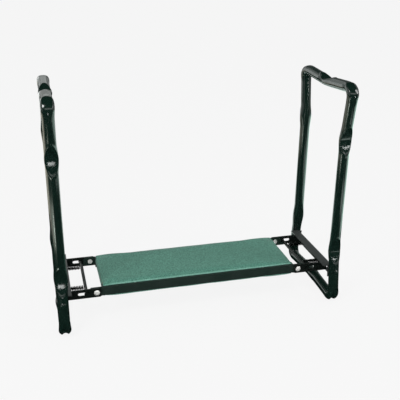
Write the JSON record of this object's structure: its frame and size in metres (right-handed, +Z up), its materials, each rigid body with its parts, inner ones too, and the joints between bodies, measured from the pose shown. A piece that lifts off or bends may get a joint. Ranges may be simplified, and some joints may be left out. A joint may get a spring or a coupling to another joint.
{
  "type": "garden kneeler bench",
  "caption": "Folding garden kneeler bench: looped steel tube frames with crushed bends hinge on a padded seat between them, held open by sprung lock rods.",
  "frame": {"origin": "on the floor under the middle of the bench, which stands in its kneeling position", "axes": "+X along the bench to its right end, -Y to the front, +Z up"},
  "size_m": [0.6044, 0.2442, 0.484],
  "materials": {
    "tube_paint": "gloss dark green powder coat",
    "rail_paint": "gloss dark green powder coat",
    "bracket_paint": "satin dark green powder coat",
    "zinc": "bright zinc plating",
    "spring_steel": "dark oiled wire",
    "board": "plain board, hidden",
    "pad_cover": "fine woven sea-green cover over foam"
  },
  "bodies": {
    "seat": {"front_rail": "rail_paint", "rear_rail": "rail_paint", "seat_board": "board", "kneeling_pad": "pad_cover", "sitting_pad": "pad_cover", "board_screws": "zinc", "left_pivot_rivets": "zinc", "left_pivot_washers": "zinc", "right_pivot_rivets": "zinc", "right_pivot_washers": "zinc"},
    "left_frame": {"left_handle_tube": "tube_paint", "left_foot_tube": "tube_paint", "left_cross_angle": "bracket_paint", "left_front_arm": "bracket_paint", "left_rear_arm": "bracket_paint", "left_leg_rivets": "tube_paint", "left_guide_pins": "zinc", "left_front_spring": "spring_steel", "left_rear_spring": "spring_steel"},
    "left_lock": {"left_lock_rod": "bracket_paint", "left_rod_clips": "zinc"},
    "right_frame": {"right_handle_tube": "tube_paint", "right_foot_tube": "tube_paint", "right_cross_angle": "bracket_paint", "right_front_arm": "bracket_paint", "right_rear_arm": "bracket_paint", "right_leg_rivets": "tube_paint", "right_guide_pins": "zinc", "right_front_spring": "spring_steel", "right_rear_spring": "spring_steel"},
    "right_lock": {"right_lock_rod": "bracket_paint", "right_rod_clips": "zinc"}
  },
  "joints": [
    {"name": "left_fold", "type": "hinge", "parent": "seat", "child": "left_frame", "pos_m": [-0.2195, 0, 0.0705], "axis": [0, 1, 0], "range_deg": [0, 95.6]},
    {"name": "right_fold", "type": "hinge", "parent": "seat", "child": "right_frame", "pos_m": [0.2195, 0, 0.0705], "axis": [0, -1, 0], "range_deg": [0, 86.8]},
    {"name": "left_lock_slide", "type": "slide", "parent": "left_frame", "child": "left_lock", "axis": [-1, 0, 0], "range_m": [0, 0.014], "stiffness_N_per_m": 300, "springref_m": -0.012, "deforming": ["left_front_spring", "left_rear_spring"]},
    {"name": "right_lock_slide", "type": "slide", "parent": "right_frame", "child": "right_lock", "axis": [1, 0, 0], "range_m": [0, 0.014], "stiffness_N_per_m": 300, "springref_m": -0.012, "deforming": ["right_front_spring", "right_rear_spring"]}
  ]
}
